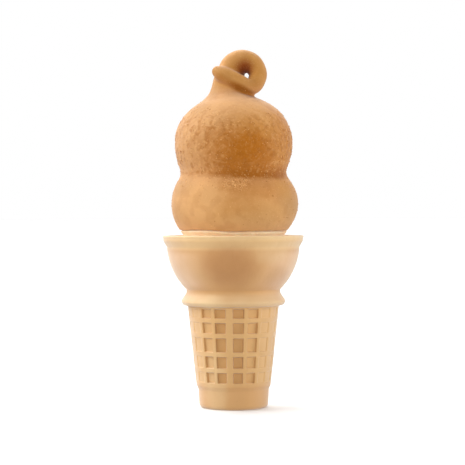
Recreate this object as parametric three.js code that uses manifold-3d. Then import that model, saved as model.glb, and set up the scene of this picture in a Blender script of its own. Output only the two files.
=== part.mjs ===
// Soft serve ice cream in a flat-bottomed wafer cup, dipped in a cinnamon sugar coating.
// Units are millimetres, +Z is up, and the origin is the centre of the cup's flat base.
// The front of the object faces -Y.
//
// Three pieces, each one closed solid:
//   cake_cone         the moulded wafer cup: waffled stem, collar, round bowl and flared rim
//   soft_serve        the ice cream that fills the cup, two lobes and a curl
//   cinnamon_coating  the crisp shell over the lobes and the curl, open below

import * as THREE from "three";
import { mergeVertices } from "three/addons/utils/BufferGeometryUtils.js";
import Module from "manifold-3d";

const wasm = await Module();
wasm.setup();

const TAU = 2 * Math.PI;
const degrees = (angle) => (angle * TAU) / 360;
const mix = (from, to, share) => from + (to - from) * share;

// ---- Driving dimensions -------------------------------------------------------------------

const GAP = 0.3; // between pieces that touch

// Wafer cup
const BASE = { radius: 16.6, corner: 2.1, height: 9.0, topRadius: 17.2 };
const STEM = { bottom: 11.6, bottomRadius: 18.1, top: 48.6, topRadius: 22.0, foot: 1.15, buried: 3.5 };
const WAFFLE = {
  columns: 18,
  wideRib: -95.5, // the wide upright rib nearest the front, in degrees from +X; one more is opposite
  wideRibAngle: 8.2, // across a wide rib's top, in degrees
  ribAngle: 4, // across every other upright rib's top, in degrees
  ribHeights: [11.9, 19.1, 26.8, 35.7, 43.0, 49.6], // middle of each level rib
  ribWidth: 1.8, // across a level rib's top
  draftAngle: 1.5, // what a pocket's side wall takes up, in degrees
  draft: 0.5, // what a pocket's upper and lower walls take up
  depth: 1.15, // of the pockets that face the front and the back
  sideDepth: 0.25, // of the pockets that face the sides
  sideReach: [42, 53], // degrees off the side, between which the depth grows to its full amount
};
const COLLAR = {
  radius: 25.3, // at its widest
  height: 51.2, // of its widest place
  top: { radius: 24.9, height: 52.3 },
  underside: { innerRadius: 22.8, outerRadius: 24.3, inner: 49.3, outer: 49.7 },
};
const NECK = { radius: 22.7, height: 55.4 };
const BOWL = { radius: 32.2, centreHeight: 79.9, top: 77.6, steps: 6 };
const RIM = {
  radius: 34.3,
  height: 83.2,
  flare: [[33.6, 80.2], [34.2, 81.7]], // radius and height
  rounding: 0.6,
  wall: 2.0,
  mouth: { bevel: 0.5, depth: 1.2 }, // of the inner edge
};
const WALL = 2.5; // of the bowl, collar and stem, measured at a rib
const FLOOR = { thickness: 3.0, corner: 1.2 };

// Ice cream, measured over the coating
const LOWER_LOBE = { radius: 31.0, height: 98.7, up: 24.0, down: 25.1, x: 0.6, y: 0 };
const UPPER_LOBE = { radius: 28.8, height: 128.3, up: 23.5, down: 29.7, x: 0.4, y: -1.0 };
const CREASE = { height: 113.6, blend: 5.4 }; // where the lobes meet, and how widely it is rounded
const COATING = { thickness: 1.2, edge: 85.6 };
// Slow dents in the lobes: how many go round, how many mm high each is, and its depth either way
const DENTS = [
  { around: 3, rise: 7, phase: 0, depth: 0.16 },
  { around: 5, rise: -4, phase: 1.3, depth: 0.13 },
];
const DENT_FADE = 12; // the dents die away over this height below the apex
// Waves in the coating's lower edge
const EDGE_WAVES = [
  { around: 2, phase: 0.6, height: 0.35 },
  { around: 5, phase: 0, height: 0.17 },
];
// What fills the bowl, from its wall to where it meets the underside of the lower lobe
const FILL = {
  wallRadius: 28.5,
  wallHeight: 79.6,
  crownRadius: 26.6,
  crownHeight: 80.3,
  waistRadius: 24.0,
  waistHeight: 82.6,
  wallTopAngle: -8, // where the bowl's inner wall ends, in degrees above level
};

// Curl: a neck that rises from the upper lobe, and a rope that leaves it, loops once and crosses
// in front of it. Each entry is x, y, z and the radius there, over the coating.
const CURL_NECK = [
  [-0.8, -0.6, 145.5, 15.5],
  [-1.5, -0.2, 149.5, 12.2],
  [-2.0, 0.3, 151.6, 10.0],
  [-2.4, 1.0, 153.6, 8.5],
  [-2.6, 1.8, 156.0, 7.5],
  [-2.3, 2.4, 158.6, 7.2],
  [-1.8, 2.8, 161.0, 6.9],
  [-1.6, 3.0, 162.4, 5.8],
  [-1.4, 3.1, 163.6, 3.6],
];
const CURL_ROOT = [[-1.4, 2.6, 156.4, 5.8]];
const CURL_LOOP = {
  x: 4.6,
  z: 161.2,
  reach: 12.15, // the radius of the loop's outline
  // the angle above +X in degrees, the rope's radius there, and y
  stations: [
    [180, 6.5, 2.6],
    [135, 6.4, 2.1],
    [90, 5.9, 1.4],
    [45, 5.1, 0.4],
    [0, 4.5, -0.8],
    [-42, 4.3, -2.3],
  ],
};
const CURL_TAIL = [
  [7.0, -3.9, 154.7, 4.2],
  [3.2, -4.9, 156.6, 4.2],
  [-0.5, -5.2, 158.5, 4.2],
  [-4.1, -4.6, 160.4, 4.1],
  [-7.2, -3.2, 162.2, 2.9],
];

// How finely each surface is divided: what shows, and what lies under the coating
const FINE = { around: 46, lowerBands: 8, upperBands: 14, neckSides: 20, ropeSides: 12, ropeSteps: 32 };
const HIDDEN = { around: 26, lowerBands: 4, upperBands: 8, neckSides: 12, ropeSides: 8, ropeSteps: 20 };
const BOWL_SEGMENTS = 52;
const CAVITY_SEGMENTS = 30;
const CAP_RINGS = 2;
const ROPE_LENGTHS = 4; // the rope is joined from this many, so that none crosses itself

// ---- Building closed meshes ---------------------------------------------------------------

// A solid from rings that all have the same number of points, closed by a point at each end.
function solidFromRings(rings, start, end) {
  const around = rings[0].length;
  const points = [start, ...rings.flat(), end];
  const triangles = [];
  const at = (ring, i) => 1 + ring * around + (i % around);
  for (let i = 0; i < around; i++) {
    triangles.push(0, at(0, i + 1), at(0, i));
    triangles.push(points.length - 1, at(rings.length - 1, i), at(rings.length - 1, i + 1));
  }
  for (let ring = 0; ring < rings.length - 1; ring++) {
    for (let i = 0; i < around; i++) {
      const [a, b] = [at(ring, i), at(ring, i + 1)];
      const [c, d] = [at(ring + 1, i + 1), at(ring + 1, i)];
      triangles.push(a, b, c, a, c, d);
    }
  }
  return new wasm.Manifold(
    new wasm.Mesh({
      numProp: 3,
      vertProperties: new Float32Array(points.flatMap((p) => p.toArray())),
      triVerts: new Uint32Array(triangles),
    }),
  );
}

// A solid of revolution about Z, from a profile of [radius, height] that starts and ends at radius 0.
function solidOfRevolution(profile, segments) {
  const lathe = new THREE.LatheGeometry(
    profile.map(([radius, height]) => new THREE.Vector2(radius, height)),
    segments,
  ).rotateX(TAU / 4);
  lathe.deleteAttribute("normal");
  lathe.deleteAttribute("uv");
  const merged = mergeVertices(lathe, 1e-4);
  const whole = [];
  for (let i = 0; i < merged.index.count; i += 3) {
    const [a, b, c] = [0, 1, 2].map((k) => merged.index.getX(i + k));
    if (a !== b && b !== c && c !== a) whole.push(a, b, c);
  }
  return new wasm.Manifold(
    new wasm.Mesh({
      numProp: 3,
      vertProperties: new Float32Array(merged.attributes.position.array),
      triVerts: new Uint32Array(whole),
    }),
  );
}

// Points on a part of a circle in a profile, from one angle to another, in degrees.
function arc(radius, height, r, from, to, steps) {
  return Array.from({ length: steps + 1 }, (_, i) => {
    const angle = degrees(from + ((to - from) * i) / steps);
    return [radius + r * Math.cos(angle), height + r * Math.sin(angle)];
  });
}

function meshOf(name, solid, material) {
  const { vertProperties, triVerts } = solid.getMesh();
  const geometry = new THREE.BufferGeometry();
  geometry.setAttribute("position", new THREE.BufferAttribute(vertProperties, 3));
  geometry.setIndex(new THREE.BufferAttribute(triVerts, 1));
  geometry.computeVertexNormals();
  const mesh = new THREE.Mesh(geometry, material);
  mesh.name = name;
  return mesh;
}

// ---- Wafer cup ----------------------------------------------------------------------------

// The stem's radius over its ribs.
function stemRadius(height) {
  const share = (height - STEM.bottom) / (STEM.top - STEM.bottom);
  return STEM.bottomRadius + (STEM.topRadius - STEM.bottomRadius) * share;
}

// The columns of pockets round the stem: where each starts and ends, in degrees, and its depth.
function pocketColumns() {
  const { columns, wideRib, wideRibAngle, ribAngle, depth, sideDepth, sideReach } = WAFFLE;
  const inHalf = columns / 2;
  const width = (180 - wideRibAngle - (inHalf - 1) * ribAngle) / inHalf;
  return Array.from({ length: columns }, (_, column) => {
    const half = wideRib + wideRibAngle / 2 + 180 * Math.floor(column / inHalf);
    const start = half + (column % inHalf) * (width + ribAngle);
    const facing = Math.sin(degrees(start + width / 2));
    const offSide = THREE.MathUtils.radToDeg(Math.asin(Math.abs(facing)));
    const share = THREE.MathUtils.smoothstep(offSide, ...sideReach);
    return { start, end: start + width, depth: mix(sideDepth, depth, share) };
  });
}

// The stem and the base below it, with rows of square pockets pressed into the stem.
function waffledStem() {
  const directions = pocketColumns().flatMap(({ start, end, depth }) => [
    { angle: degrees(start), depth: 0 },
    { angle: degrees(start + WAFFLE.draftAngle), depth },
    { angle: degrees(end - WAFFLE.draftAngle), depth },
    { angle: degrees(end), depth: 0 },
  ]);
  const ring = (height, pressed = false) =>
    directions.map(({ angle, depth }) => {
      const r = stemRadius(height) - (pressed ? depth : 0);
      return new THREE.Vector3(r * Math.cos(angle), r * Math.sin(angle), height);
    });

  const plainRing = (radius, height) =>
    directions.map(
      ({ angle }) => new THREE.Vector3(radius * Math.cos(angle), radius * Math.sin(angle), height),
    );

  const corner = arc(BASE.radius - BASE.corner, BASE.corner, BASE.corner, -90, 0, 2);
  const rings = corner.map(([radius, height]) => plainRing(radius, height));
  rings.push(plainRing(BASE.topRadius, BASE.height));
  rings.push(plainRing(STEM.bottomRadius, STEM.bottom - STEM.foot));
  for (let row = 0; row < WAFFLE.ribHeights.length - 1; row++) {
    const low = WAFFLE.ribHeights[row] + WAFFLE.ribWidth / 2;
    const high = WAFFLE.ribHeights[row + 1] - WAFFLE.ribWidth / 2;
    rings.push(ring(low));
    rings.push(ring(low + WAFFLE.draft, true));
    rings.push(ring(high - WAFFLE.draft, true));
    rings.push(ring(high));
  }
  const top = STEM.top + STEM.buried;
  rings.push(plainRing(STEM.topRadius, top));
  return solidFromRings(rings, new THREE.Vector3(0, 0, 0), new THREE.Vector3(0, 0, top));
}

// The collar, the round bowl and the flared rim, solid.
function bowlAndCollar() {
  const neckAngle = -THREE.MathUtils.radToDeg(Math.acos(NECK.radius / BOWL.radius));
  const topAngle = -THREE.MathUtils.radToDeg(
    Math.asin((BOWL.centreHeight - BOWL.top) / BOWL.radius),
  );
  return solidOfRevolution(
    [
      [0, COLLAR.underside.inner],
      [COLLAR.underside.innerRadius, COLLAR.underside.inner],
      [COLLAR.underside.outerRadius, COLLAR.underside.outer],
      [COLLAR.radius, COLLAR.height],
      [COLLAR.top.radius, COLLAR.top.height],
      [NECK.radius, NECK.height],
      ...arc(0, BOWL.centreHeight, BOWL.radius, neckAngle, topAngle, BOWL.steps),
      ...RIM.flare,
      [RIM.radius, RIM.height - RIM.rounding],
      [RIM.radius - RIM.rounding, RIM.height],
      [0, RIM.height],
    ],
    BOWL_SEGMENTS,
  );
}

// The profile of the cup's inside, kept clear of its wall by a gap, and closed by what is on top.
function cupInside(gap, top) {
  const neckRadius = NECK.radius - WALL;
  const bowlRadius = BOWL.radius - WALL;
  const neckAngle = -THREE.MathUtils.radToDeg(Math.acos(neckRadius / bowlRadius));
  const bowl = arc(0, BOWL.centreHeight, bowlRadius, neckAngle, FILL.wallTopAngle, BOWL.steps);
  const floor = FLOOR.thickness + gap;
  const baseInside = BASE.radius - WALL - gap;
  const stemInside = (height) => stemRadius(height) - WALL - gap;
  return [
    [0, floor],
    [baseInside - FLOOR.corner, floor],
    [baseInside, floor + FLOOR.corner],
    [stemInside(STEM.bottom), STEM.bottom],
    [stemInside(STEM.top), STEM.top],
    [neckRadius - gap, NECK.height],
    ...bowl.map(([radius, height]) => [radius - gap, height]),
    ...top,
  ];
}

function cakeCone() {
  const mouth = RIM.radius - RIM.wall;
  const aboveRim = RIM.height + GAP;
  const openTop = [
    [mouth, RIM.height - RIM.mouth.depth],
    [mouth + RIM.mouth.bevel, RIM.height],
    [mouth + RIM.mouth.bevel, aboveRim],
    [0, aboveRim],
  ];
  return waffledStem()
    .add(bowlAndCollar())
    .subtract(solidOfRevolution(cupInside(0, openTop), CAVITY_SEGMENTS));
}

// ---- Ice cream and coating ----------------------------------------------------------------

// The greater of two values, rounded where they cross.
function smoothMax(a, b, width) {
  const near = Math.max(width - Math.abs(a - b), 0) / width;
  return Math.max(a, b) + (near * near * width) / 4;
}

// How far a lobe, inset all over, reaches from the Z axis at an angle and a height.
function lobeReach(lobe, angle, height, inset) {
  const half = (height > lobe.height ? lobe.up : lobe.down) - inset;
  const rise = (height - lobe.height) / half;
  const reach = (lobe.radius - inset) * Math.sqrt(Math.max(1 - rise * rise, 0));
  return reach + lobe.x * Math.cos(angle) + lobe.y * Math.sin(angle);
}

// The lobes' radius, inset from the coating's outer face: a rounded crease and slow dents.
function lobesRadius(angle, height, inset) {
  const lower = lobeReach(LOWER_LOBE, angle, height, inset);
  const upper = lobeReach(UPPER_LOBE, angle, height, inset);
  const top = UPPER_LOBE.height + UPPER_LOBE.up;
  const fade = THREE.MathUtils.clamp((top - height) / DENT_FADE, 0, 1);
  const dent = DENTS.reduce(
    (sum, { around, rise, phase, depth }) =>
      sum + depth * Math.sin(around * angle + height / rise + phase),
    0,
  );
  return smoothMax(lower, upper, CREASE.blend) + fade * dent;
}

// The height of the coating's lower edge, which wanders round the ice cream.
function coatingEdge(angle) {
  return EDGE_WAVES.reduce(
    (sum, { around, phase, height }) => sum + height * Math.sin(around * angle + phase),
    COATING.edge,
  );
}

// The heights that the lobes are divided at, from a lower edge up, in even angles over each lobe.
function bandHeights(low, inset, detail) {
  const lowest = Math.asin((low - LOWER_LOBE.height) / LOWER_LOBE.down);
  const creaseAbove = Math.asin((CREASE.height - LOWER_LOBE.height) / LOWER_LOBE.up);
  const creaseBelow = Math.asin((CREASE.height - UPPER_LOBE.height) / UPPER_LOBE.down);
  const lower = Array.from({ length: detail.lowerBands }, (_, i) => {
    const angle = mix(lowest, creaseAbove, i / detail.lowerBands);
    return LOWER_LOBE.height + (angle > 0 ? LOWER_LOBE.up : LOWER_LOBE.down) * Math.sin(angle);
  });
  const upper = Array.from({ length: detail.upperBands }, (_, i) => {
    const angle = mix(creaseBelow, TAU / 4, i / detail.upperBands);
    const half = angle > 0 ? UPPER_LOBE.up - inset : UPPER_LOBE.down;
    return UPPER_LOBE.height + half * Math.sin(angle);
  });
  return [...lower, ...upper];
}

// The two lobes as a solid from their lower edge up, inset from the coating's outer face.
function lobes(inset, detail, bottom) {
  const columns = Array.from({ length: detail.around }, (_, i) => {
    const angle = (i / detail.around) * TAU;
    return bandHeights(bottom(angle), inset, detail).map((height) => {
      const radius = lobesRadius(angle, height, inset);
      return new THREE.Vector3(radius * Math.cos(angle), radius * Math.sin(angle), height);
    });
  });
  const rings = columns[0].map((_, band) => columns.map((column) => column[band]));
  const { x, y, height, up } = UPPER_LOBE;
  return solidFromRings(
    rings,
    new THREE.Vector3(0, 0, bottom(0)),
    new THREE.Vector3(x, y, height + up - inset),
  );
}

// The curl's neck: level rings that narrow from the upper lobe, closed inside the rope.
function curlNeck(inset, detail) {
  const rings = CURL_NECK.map(([x, y, z, radius]) =>
    Array.from({ length: detail.neckSides }, (_, side) => {
      const angle = (side / detail.neckSides) * TAU;
      const r = radius - inset;
      return new THREE.Vector3(x + r * Math.cos(angle), y + r * Math.sin(angle), z);
    }),
  );
  const middle = ([x, y, z]) => new THREE.Vector3(x, y, z);
  return solidFromRings(rings, middle(CURL_NECK[0]), middle(CURL_NECK.at(-1)));
}

// The rope's points: x, y, z and its radius, from the root round the loop and along the tail.
function ropePoints() {
  const { x, z, reach, stations } = CURL_LOOP;
  const loop = stations.map(([angle, rope, y]) => {
    const out = reach - rope;
    return [x + out * Math.cos(degrees(angle)), y, z + out * Math.sin(degrees(angle)), rope];
  });
  return [...CURL_ROOT, ...loop, ...CURL_TAIL];
}

// The curl's rope with a round end, joined from lengths that are each too short to cross themselves.
function curlRope(inset, detail) {
  const points = ropePoints();
  const path = new THREE.CatmullRomCurve3(points.map(([x, y, z]) => new THREE.Vector3(x, y, z)));
  const ropes = new THREE.CatmullRomCurve3(points.map((p) => new THREE.Vector3(p[3], 0, 0)));
  const steps = detail.ropeSteps;
  const { tangents, normals, binormals } = path.computeFrenetFrames(steps);
  const ring = (centre, i, radius) =>
    Array.from({ length: detail.ropeSides }, (_, side) => {
      const angle = (side / detail.ropeSides) * TAU;
      return centre
        .clone()
        .addScaledVector(normals[i], radius * Math.cos(angle))
        .addScaledVector(binormals[i], radius * Math.sin(angle));
    });
  const stations = tangents.map((_, i) => {
    const t = path.getUtoTmapping(i / steps);
    return { centre: path.getPoint(t), radius: ropes.getPoint(t).x - inset };
  });
  const rings = stations.map(({ centre, radius }, i) => ring(centre, i, radius));
  const { centre, radius } = stations[steps];
  for (let k = 1; k <= CAP_RINGS; k++) {
    const angle = ((k / (CAP_RINGS + 1)) * TAU) / 4;
    const along = centre.clone().addScaledVector(tangents[steps], radius * Math.sin(angle));
    rings.push(ring(along, steps, radius * Math.cos(angle)));
  }
  const tip = centre.clone().addScaledVector(tangents[steps], radius);
  const lengths = Array.from({ length: ROPE_LENGTHS }, (_, k) => {
    const from = (k * steps) / ROPE_LENGTHS;
    const to = ((k + 1) * steps) / ROPE_LENGTHS;
    return to < steps
      ? solidFromRings(rings.slice(from, to + 1), stations[from].centre, stations[to].centre)
      : solidFromRings(rings.slice(from), stations[from].centre, tip);
  });
  return lengths.reduce((whole, length) => whole.add(length));
}

function iceCreamForm(inset, detail, bottom) {
  return lobes(inset, detail, bottom).add(curlNeck(inset, detail)).add(curlRope(inset, detail));
}

function cinnamonCoating() {
  const hollow = iceCreamForm(COATING.thickness, HIDDEN, () => FILL.waistHeight);
  return iceCreamForm(0, FINE, coatingEdge).subtract(hollow);
}

// The bare band between the bowl's fill and the coating's lower edge.
function bareBand() {
  const levels = [() => FILL.wallHeight, () => FILL.waistHeight, (angle) => coatingEdge(angle) - GAP];
  const rings = levels.map((level) =>
    Array.from({ length: HIDDEN.around }, (_, i) => {
      const angle = (i / HIDDEN.around) * TAU;
      const height = level(angle);
      const radius = lobesRadius(angle, height, GAP);
      return new THREE.Vector3(radius * Math.cos(angle), radius * Math.sin(angle), height);
    }),
  );
  return solidFromRings(
    rings,
    new THREE.Vector3(0, 0, FILL.wallHeight),
    new THREE.Vector3(0, 0, COATING.edge),
  );
}

// The ice cream under the coating, the bare band below its edge, and what fills the cup.
function softServe() {
  const fillTop = [
    [FILL.wallRadius, FILL.wallHeight],
    [FILL.crownRadius, FILL.crownHeight],
    [FILL.waistRadius, FILL.waistHeight],
    [0, FILL.waistHeight],
  ];
  return iceCreamForm(COATING.thickness + GAP, HIDDEN, () => FILL.waistHeight)
    .add(bareBand())
    .add(solidOfRevolution(cupInside(GAP, fillTop), CAVITY_SEGMENTS));
}

// ---- The object ---------------------------------------------------------------------------

const WAFER = new THREE.MeshStandardMaterial({ color: "#deb27c", roughness: 0.75, metalness: 0 });
const CREAM = new THREE.MeshStandardMaterial({ color: "#f3e0bd", roughness: 0.45, metalness: 0 });
const CINNAMON = new THREE.MeshStandardMaterial({ color: "#c98e50", roughness: 0.7, metalness: 0 });

const cone = new THREE.Group();
cone.add(meshOf("cake_cone", cakeCone(), WAFER));
cone.add(meshOf("soft_serve", softServe(), CREAM));
cone.add(meshOf("cinnamon_coating", cinnamonCoating(), CINNAMON));

export default cone;
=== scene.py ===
"""The looks of a dipped soft serve in a flat-bottomed wafer cup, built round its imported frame.

Lengths are millimetres in the row frame (+Z up, the front faces -Y), and become metres where a
mesh or an object is made. The wafer cup is a surface of revolution with pockets pressed into its
stem. The ice cream and the shell over it come from one implicit form, taken at different insets.
The sugar and cinnamon grains on the shell are small meshes of their own.
"""

import math
from collections import namedtuple
from types import SimpleNamespace as Facts

import bpy
import numpy as np
import openvdb
from mathutils import Euler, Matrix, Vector, noise

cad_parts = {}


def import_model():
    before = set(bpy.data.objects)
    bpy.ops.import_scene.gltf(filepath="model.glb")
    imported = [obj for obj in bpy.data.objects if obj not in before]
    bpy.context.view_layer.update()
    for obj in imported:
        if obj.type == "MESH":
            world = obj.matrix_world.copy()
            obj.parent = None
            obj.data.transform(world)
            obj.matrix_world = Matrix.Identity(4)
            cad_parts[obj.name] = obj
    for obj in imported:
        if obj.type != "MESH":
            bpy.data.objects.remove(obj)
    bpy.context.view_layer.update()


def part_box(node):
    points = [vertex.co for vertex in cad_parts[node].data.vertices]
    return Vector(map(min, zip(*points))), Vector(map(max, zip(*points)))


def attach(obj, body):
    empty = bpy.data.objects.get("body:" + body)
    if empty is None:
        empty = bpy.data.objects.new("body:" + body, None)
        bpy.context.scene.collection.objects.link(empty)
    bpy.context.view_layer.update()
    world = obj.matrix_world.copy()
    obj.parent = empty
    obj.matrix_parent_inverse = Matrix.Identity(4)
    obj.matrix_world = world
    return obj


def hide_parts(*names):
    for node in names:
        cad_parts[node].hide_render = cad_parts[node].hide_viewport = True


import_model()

MM = 0.001
SEED = 7

# ---- Sizes that the frame gives ----

RIM_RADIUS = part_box("cake_cone")[1].x / MM
RIM_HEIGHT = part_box("cake_cone")[1].z / MM
TOP_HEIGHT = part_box("cinnamon_coating")[1].z / MM
CLEARANCE = 0.08  # what the rim keeps off the frame's box
LEAST_CLEARANCE = 0.02  # what every point keeps off its sides

# ---- The wafer cup's sizes ----

BASE = Facts(radius=16.6, corner=2.1, height=9, top_radius=17.2, top_corner=1.2)
STEM = Facts(bottom=11.6, bottom_radius=18.1, top=48.6, top_radius=22)
RIB_HEIGHTS = [11.9, 19.1, 26.8, 35.7, 43, 49.6]  # the middle of each level rib
WAFFLE = Facts(
    columns=18, rib_angle=4, rib_width=1.8, draft=0.5, corner=0.7, wide_rib_angle=8.2,
    wide_rib=-95.5,  # the wide upright rib nearest the front; one more is opposite
    depth=1.15,  # of the pockets that face the front and the back
    side_depth=0.25,
    side_reach=(42, 53),  # degrees off the side, between which the depth grows
    unevenness=0.12,
    phases=(2.4, 1.7),  # of the unevenness, in radians a column and a row
)
COLLAR = [(22.8, 49.3, 0.3), (24.3, 49.7, 0.7), (25.3, 51.2, 0.9), (24.9, 52.3, 1)]
NECK = Facts(radius=22.7, height=55.4, fillet=1.6)
BOWL = Facts(radius=32.2, centre=79.9, top=77.6, steps=14)
FLARE = [(33.6, 80.2, 2), (34.1, 81.5, 0.3)]
LIP = Facts(height=81.65, groove=0.30, width=0.40)
RIM = Facts(rounding=0.75, wall=2, mouth_depth=1.2, mouth_fillet=0.6)
WALL = 2.5
FLOOR = Facts(thickness=3, corner=1.2)
WALL_TOP_ANGLE = -8  # where the bowl's inner wall turns to the mouth, in degrees from level
STEM_ENDS = Facts(foot=0.4, foot_fillet=0.5, head=0.2, head_fillet=0.2, under_collar=0.1)
STEM_SKIN = Facts(above=0.2, within=0.3)  # the profile's points this near the stem are pressed in
POCKET_ROWS = Facts(edge=0.15, wall=6, floor=0.9)  # of the mesh, up one pocket
CUP_SPACING = Facts(below=1.3, outside=0.8, inside=8)  # between rows elsewhere
CUP_CELLS = (5, 10, 5, 4)  # of the mesh, over a pocket's wall, its floor, its wall and a rib
WALL_REACH = (0.3, 1.9)  # degrees out of and into a pocket that its wall's cells take up
CUP_RELIEF = [(17, 2, 0, 0.06), (3.2, 2, 1, 0.03), (1.1, 2, 2, 0.025)]  # as relief() takes it
FLAT_FOOT = (0, 2.5)  # the heights between which the relief grows
FILLET = Facts(turn=20, longest=0.48, least=0.02)  # degrees a step, share of a side, mm

# ---- The ice cream's and the shell's sizes, measured over the shell ----

LOWER_LOBE = Facts(radius=31, height=98.7, up=24, down=25.1, x=0.6, y=0)
UPPER_LOBE = Facts(radius=28.8, height=128.3, up=23.5, down=29.7, x=0.4, y=-1)
CREASE_BLEND = 3.8
SKIN_INSET = 0.22  # the shell's skin lies this far in, and its grains stand up to the form
CURL_INSET = 0.10  # on the curl, which is smoother
SMOOTH_CURL = (150, 156)  # the heights between which the skin grows smoother
DENTS = [(3, 7, 0, 0.16), (5, -4, 1.3, 0.13)]  # how many round, mm a radian, phase, depth
DENTS_END = (142, 150)  # the heights between which they fade
SHELL = Facts(thickness=1.2, edge=85.6, rounding=0.35)
EDGE_WAVES = [(2, 0.6, 0.35), (5, 0, 0.17)]  # how many round, phase, height
BAND_INSET = 0.15
BAND_BLEND = 1.2
CORE_INSET = 1.5
STEEPEST = 1.5  # how much radius a millimetre of height may add, where the fill is measured
CREAM_RIPPLE = (5, 2, 3, 0.10)
BAND_SHOWS = ((78, 79.5), (85, 86.5))  # the heights of the ripple's rise and its fall
CURL_NECK = [  # x, y, z and radius of level rings
    (-0.8, -0.6, 145.5, 15.5),
    (-1.5, -0.2, 149.5, 12.2),
    (-2, 0.3, 151.6, 10),
    (-2.4, 1, 153.6, 8.5),
    (-2.6, 1.8, 156, 7.5),
    (-2.3, 2.4, 158.6, 7.2),
    (-1.8, 2.8, 161, 6.9),
    (-1.6, 3, 162.4, 5.8),
    (-1.4, 3.1, 163.6, 3.6),
]
CURL_ROOT = [(-1.4, 2.6, 156.4, 5.8)]  # x, y, z and the rope's radius, as in the tail
CURL_LOOP = Facts(x=4.6, z=161.2, reach=12.15)  # its middle and its outline's radius
LOOP_STATIONS = [  # the angle above +X in degrees, the rope's radius there, and y
    (180, 6.5, 2.6),
    (135, 6.4, 2.1),
    (90, 5.9, 1.4),
    (45, 5.1, 0.4),
    (0, 4.5, -0.8),
    (-42, 4.3, -2.3),
]
CURL_TAIL = [
    (7, -3.9, 154.7, 4.2),
    (3.2, -4.9, 156.6, 4.2),
    (-0.5, -5.2, 158.5, 4.2),
    (-4.1, -4.6, 160.4, 4.1),
    (-7.2, -3.2, 162.2, 2.9),
]
CURVE_STEPS = 8  # short lengths between two of a curve's points
ROPE_BRIDGE = (4, 8)  # the rope's points between which it isn't blended into itself
NECK_BLEND = 1.6
ROPE_BLEND = 2
SELF_BLEND = 2.4  # where the tail lies on the loop
CURL_LOWEST = 147  # the rope is looked for above this height only
FILL_TOP = [(28.5, 79.6), (26.6, 80.3), (24, 82.6)]  # radius and height
PIECE_GAP = 0.3

VOXEL = Facts(shell=0.53, hollow=1.4, cream=0.85)
SLIDES = Facts(count=3, flattest=0.2)  # Newton steps from a voxel surface onto the form
OUTSIDE = 50  # a distance that stands for anywhere far out
MARGIN = Facts(round=1.5, below=2, above=1, under_fill=3)  # of the boxes that hold surfaces


# ---- Meshes ----


def new_object(name, data):
    made = bpy.data.objects.new(name, data)
    bpy.context.scene.collection.objects.link(made)
    return made


def mesh_object(name, points, faces, material):
    """An object at the origin whose mesh has these points, in millimetres, and faces."""
    mesh = bpy.data.meshes.new(name)
    mesh.from_pydata((np.asarray(points) * MM).tolist(), [], faces)
    mesh.shade_smooth()
    mesh.materials.append(material)
    mesh.update()
    return new_object(name, mesh)


def noise_at(points, size, octaves=1, shift=0.0):
    """Smooth noise from about -1 to 1, with lumps of this size."""
    placed = (np.asarray(points) / size + shift).tolist()
    return np.array([noise.fractal(p, 1.0, 2.0, octaves) for p in placed])


def relief(points, size, octaves, shift, depth):
    return depth * noise_at(points, size, octaves, shift)


def grains_at(points, size):
    """A random packing of grains: 1 in the middle of each, falling to about 0 where they meet."""
    placed = (np.asarray(points) / size).tolist()
    return 1 - np.array([noise.voronoi(p)[0][0] for p in placed])


def unit(ways):
    return ways / np.maximum(np.linalg.norm(ways, axis=-1, keepdims=True), 1e-9)


def smooth_step(low, high, value):
    share = np.clip((value - low) / (high - low), 0, 1)
    return share * share * (3 - 2 * share)


def between(value, rise, fall):
    """1 between the end of the rise and the start of the fall, and softly 0 beyond them."""
    return smooth_step(*rise, value) * (1 - smooth_step(*fall, value))


def smooth_max(a, b, width):
    """The greater of two values, rounded where they cross."""
    overlap = np.maximum(width - np.abs(a - b), 0) / width
    return np.maximum(a, b) + overlap * overlap * width / 4


def smooth_min(a, b, width):
    return -smooth_max(-a, -b, width)


def stay_in_box(points):
    """Points drawn in where they would pass the frame's box."""
    points = points.copy()
    flat = np.hypot(points[..., 0], points[..., 1])
    share = np.minimum(1, (RIM_RADIUS - LEAST_CLEARANCE) / np.maximum(flat, 1e-6))
    points[..., :2] *= share[..., None]
    points[..., 2] = np.clip(points[..., 2], 0, TOP_HEIGHT)
    return points


# ---- The wafer cup ----


def stem_radius(height):
    share = (height - STEM.bottom) / (STEM.top - STEM.bottom)
    return STEM.bottom_radius + (STEM.top_radius - STEM.bottom_radius) * share


def rounded(corners):
    """A line through corners of (radius, height, fillet), with each corner rounded off."""
    corners = [np.array(c, float) for c in corners]
    line = [corners[0][:2]]
    for before, corner, after in zip(corners, corners[1:], corners[2:]):
        here, fillet = corner[:2], corner[2]
        ways = [other[:2] - here for other in (before, after)]
        lengths = [np.linalg.norm(way) for way in ways]
        units = [way / length for way, length in zip(ways, lengths)]
        turn = math.acos(np.clip(units[0] @ units[1], -1, 1))
        cut = min(fillet / math.tan(turn / 2), FILLET.longest * min(lengths))
        if cut < FILLET.least:
            line.append(here)
            continue
        steps = max(2, round((math.pi - turn) / math.radians(FILLET.turn)))
        for s in np.linspace(0, 1, steps + 1):
            start, end = here + units[0] * cut, here + units[1] * cut
            line.append((1 - s) ** 2 * start + 2 * s * (1 - s) * here + s * s * end)
    line.append(corners[-1][:2])
    return line


def divided(line, spacing):
    """The line with points put in, so that none lie further apart than spacing."""
    points = [line[0]]
    for a, b in zip(line, line[1:]):
        steps = max(1, math.ceil(np.linalg.norm(b - a) / spacing - 1e-6))
        points += [a + (b - a) * (i + 1) / steps for i in range(steps)]
    return points


def bowl_arc(radius, start, end):
    """Corners on a sphere round the bowl's middle, from one angle above level to another."""
    angles = np.radians(np.linspace(start, end, BOWL.steps + 1))
    return [(radius * math.cos(a), BOWL.centre + radius * math.sin(a), 0) for a in angles]


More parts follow.
